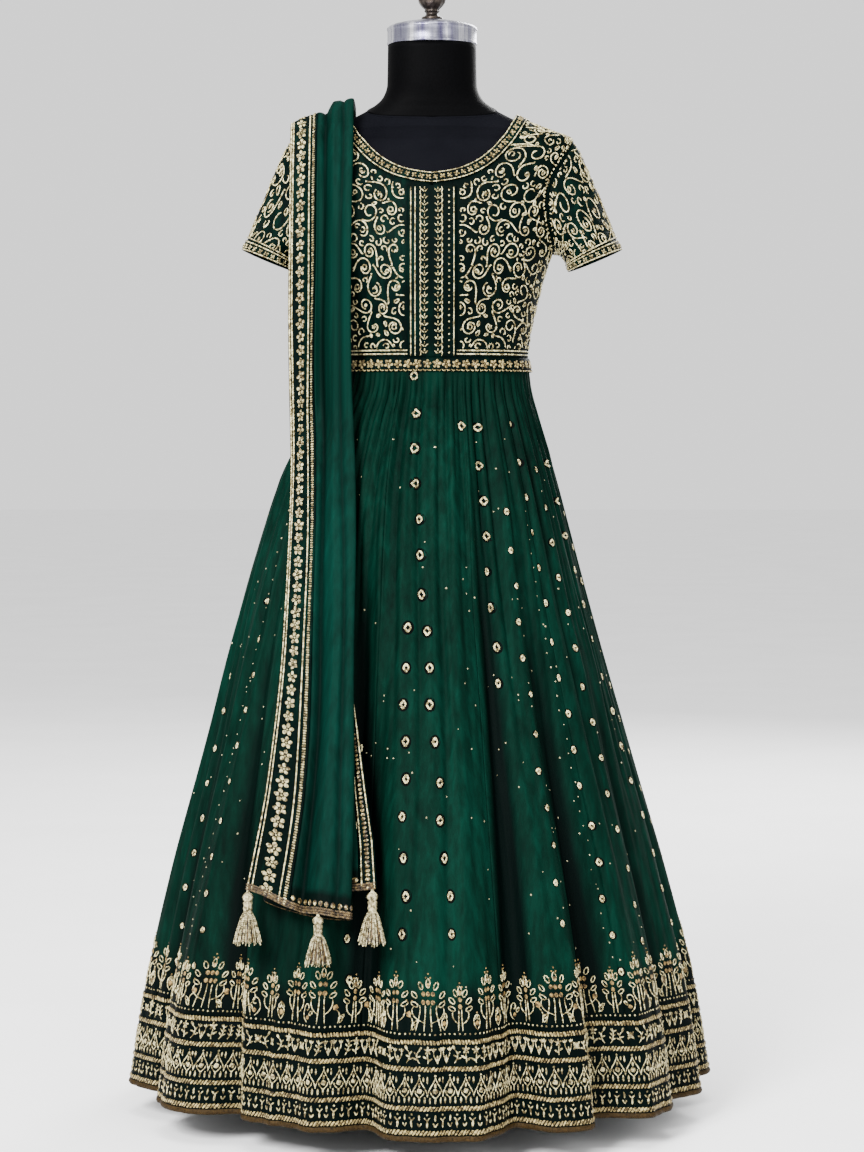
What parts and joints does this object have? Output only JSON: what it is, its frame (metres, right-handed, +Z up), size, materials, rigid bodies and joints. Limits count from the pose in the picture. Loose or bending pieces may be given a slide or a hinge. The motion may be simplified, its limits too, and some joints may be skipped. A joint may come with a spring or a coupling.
{
  "type": "salwar suit on a dress form",
  "caption": "Floor-length gathered gown with short sleeves, embroidered bodice and banded hem, and a tasselled scarf over one shoulder, on a limbless dress form with a round stand.",
  "frame": {"origin": "middle of the flat underside of the stand's round base, on the floor, below the form's neck", "axes": "+Z up along the pole and neck, the gown's front faces -Y, +X to the right of someone who looks at the front"},
  "size_m": [0.7882, 0.803, 1.5233],
  "materials": {
    "gown_georgette": "soft emerald green georgette with a slight sheen",
    "embroidered_georgette": "near-black green georgette under dense cream and gold cord embroidery",
    "gold_trim": "woven gold and cream trim with small flowers",
    "scarf_georgette": "sheer-weight teal green georgette, matte",
    "tassel_thread": "cream gold twisted thread",
    "form_jersey": "black stretch jersey, matte",
    "neck_cover": "smooth black",
    "chrome": "polished",
    "bronze_paint": "dark bronze",
    "stand_paint": "black satin"
  },
  "bodies": {
    "root": {"form_torso": "form_jersey", "form_neck": "neck_cover", "form_cap": "chrome", "form_finial": "bronze_paint", "form_pole": "stand_paint", "form_base": "stand_paint", "bodice_front_left": "embroidered_georgette", "bodice_front_right": "embroidered_georgette", "bodice_back": "embroidered_georgette", "neckband": "gold_trim", "placket": "embroidered_georgette", "waistband": "gold_trim", "sleeve_left": "embroidered_georgette", "sleeve_band_left": "gold_trim", "sleeve_right": "embroidered_georgette", "sleeve_band_right": "gold_trim", "skirt_kali_01": "gown_georgette", "skirt_kali_02": "gown_georgette", "skirt_kali_03": "gown_georgette", "skirt_kali_04": "gown_georgette", "skirt_kali_05": "gown_georgette", "skirt_kali_06": "gown_georgette", "skirt_kali_07": "gown_georgette", "skirt_kali_08": "gown_georgette", "skirt_kali_09": "gown_georgette", "skirt_kali_10": "gown_georgette", "skirt_kali_11": "gown_georgette", "skirt_kali_12": "gown_georgette", "hem_border_1": "embroidered_georgette", "hem_border_2": "embroidered_georgette", "hem_border_3": "embroidered_georgette", "hem_border_4": "embroidered_georgette", "hem_border_5": "embroidered_georgette", "hem_border_6": "embroidered_georgette", "scarf_wide_border": "gold_trim", "scarf_cloth": "scarf_georgette", "scarf_narrow_border": "gold_trim", "tassel_front_outer": "tassel_thread", "tassel_front_middle": "tassel_thread", "tassel_front_inner": "tassel_thread", "tassel_back_outer": "tassel_thread", "tassel_back_middle": "tassel_thread", "tassel_back_inner": "tassel_thread"}
  },
  "joints": []
}
